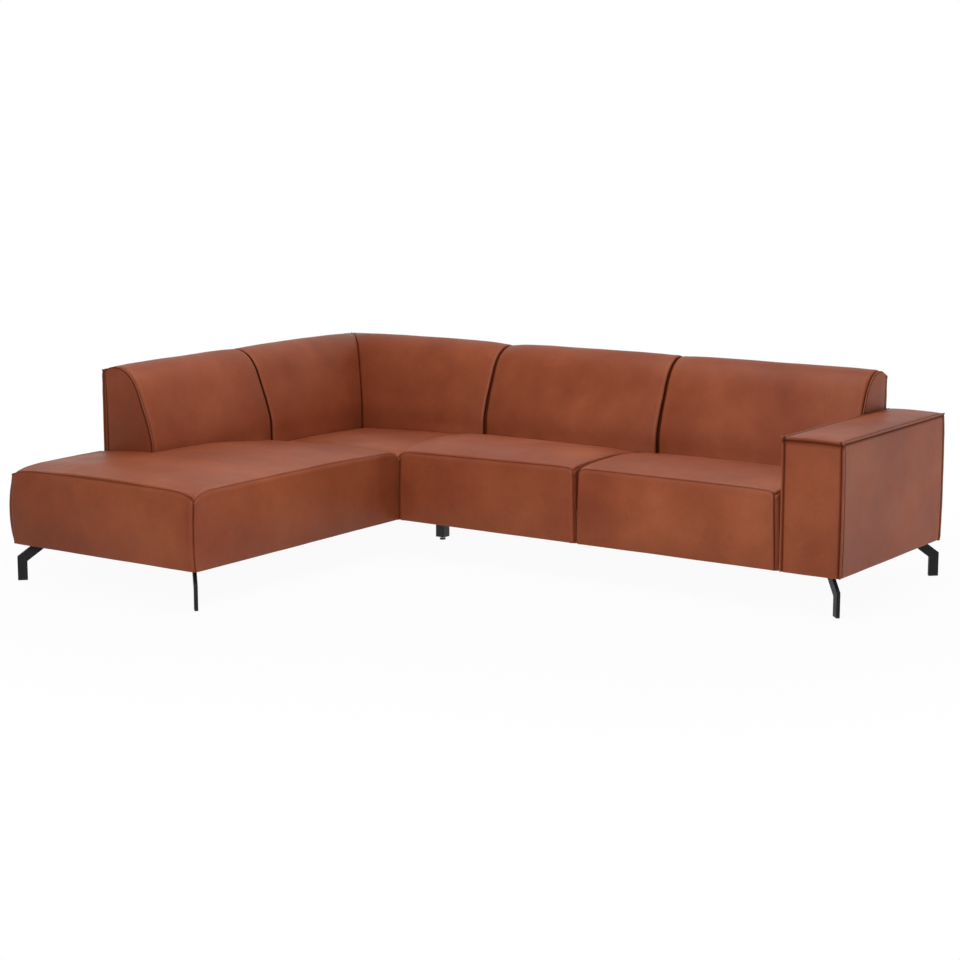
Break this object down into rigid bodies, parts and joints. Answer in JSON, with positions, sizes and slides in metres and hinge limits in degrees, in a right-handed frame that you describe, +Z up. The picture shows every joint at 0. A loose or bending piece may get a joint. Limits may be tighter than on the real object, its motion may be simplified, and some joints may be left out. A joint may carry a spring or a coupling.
{
  "type": "corner sofa",
  "caption": "Leather corner sofa with an open-ended wing, fixed crowned back cushions, a broad arm, bent flat-bar metal legs and levelling glides.",
  "frame": {"origin": "on the floor, in the middle of the footprint's bounding box", "axes": "+X runs right along the long side, seen from the front; +Y runs to the rear; +Z is up"},
  "size_m": [2.9595, 2.163, 0.809],
  "materials": {
    "leather": "satin",
    "foam": "matte",
    "webbing": "matte",
    "dust_cloth": "matte",
    "frame_timber": "matte",
    "frame_board": "matte",
    "black_steel": "satin",
    "zinc_steel": "satin",
    "black_plastic": "matte"
  },
  "bodies": {
    "root": {"arm_cover": "leather", "arm_front_board": "frame_board", "arm_front_border": "leather", "arm_front_leg": "black_steel", "arm_inner_board": "frame_board", "arm_outer_board": "frame_board", "arm_rear_border": "leather", "arm_rear_leg": "black_steel", "arm_top_board": "frame_board", "back_webbing": "webbing", "connector_hooks": "zinc_steel", "connector_sockets": "zinc_steel", "corner_back_board": "frame_board", "corner_back_cushion": "leather", "corner_back_top_rail": "frame_timber", "corner_module_cross_rails": "frame_timber", "corner_module_seat_foam": "foam", "corner_rear_panel": "leather", "corner_rear_rail": "frame_timber", "corner_seat_cover": "leather", "dust_covers": "dust_cloth", "inner_side_rail": "frame_timber", "left_back_board": "frame_board", "left_back_top_rail": "frame_timber", "left_outer_panel": "leather", "left_side_rail": "frame_timber", "leg_bolts": "zinc_steel", "leg_corner_blocks": "frame_timber", "leg_floor_caps": "black_plastic", "long_back_board": "frame_board", "long_back_foot_rail": "frame_timber", "long_back_top_rail": "frame_timber", "long_front_rail": "frame_timber", "long_left_rail": "frame_timber", "long_middle_rail": "frame_timber", "long_module_seat_foam": "foam", "long_rear_panel": "leather", "long_rear_rail": "frame_timber", "middle_back_cushion": "leather", "middle_seat_cover": "leather", "right_back_cushion": "leather", "right_back_end_panel": "leather", "right_seat_cover": "leather", "seat_webbing": "webbing", "support_blocks": "black_plastic", "wing_back_end_panel": "leather", "wing_back_foot_rails": "frame_timber", "wing_corner_back_cushion": "leather", "wing_front_back_cushion": "leather", "wing_front_border": "leather", "wing_front_rail": "frame_timber", "wing_left_leg": "black_steel", "wing_right_leg": "black_steel", "wing_seat_cover": "leather"},
    "inner_pad": {"inner_glide_pad": "black_plastic"},
    "inner_stem": {"inner_glide_stem": "zinc_steel"},
    "corner_pad": {"corner_glide_pad": "black_plastic"},
    "corner_stem": {"corner_glide_stem": "zinc_steel"},
    "rear_pad": {"rear_glide_pad": "black_plastic"},
    "rear_stem": {"rear_glide_stem": "zinc_steel"}
  },
  "joints": [
    {"name": "inner_glide_height", "type": "slide", "parent": "root", "child": "inner_pad", "axis": [0, 0, -1], "range_m": [-0.004, 0.012]},
    {"name": "inner_stem_turn", "type": "hinge", "parent": "inner_pad", "child": "inner_stem", "pos_m": [-0.5558, 0.5365, 0], "axis": [0, 0, 1], "range_deg": [-3470, 1160]},
    {"name": "corner_glide_height", "type": "slide", "parent": "root", "child": "corner_pad", "axis": [0, 0, -1], "range_m": [-0.004, 0.012]},
    {"name": "corner_stem_turn", "type": "hinge", "parent": "corner_pad", "child": "corner_stem", "pos_m": [-1.4292, 1.0115, 0], "axis": [0, 0, 1], "range_deg": [-3470, 1160]},
    {"name": "rear_glide_height", "type": "slide", "parent": "root", "child": "rear_pad", "axis": [0, 0, -1], "range_m": [-0.004, 0.012]},
    {"name": "rear_stem_turn", "type": "hinge", "parent": "rear_pad", "child": "rear_stem", "pos_m": [-0.5558, 1.0115, 0], "axis": [0, 0, 1], "range_deg": [-3470, 1160]}
  ],
  "couplings": [
    {"joint": "inner_stem_turn", "follows": "inner_glide_height", "rad_per_m": -5026.5},
    {"joint": "corner_stem_turn", "follows": "corner_glide_height", "rad_per_m": -5026.5},
    {"joint": "rear_stem_turn", "follows": "rear_glide_height", "rad_per_m": -5026.5}
  ]
}
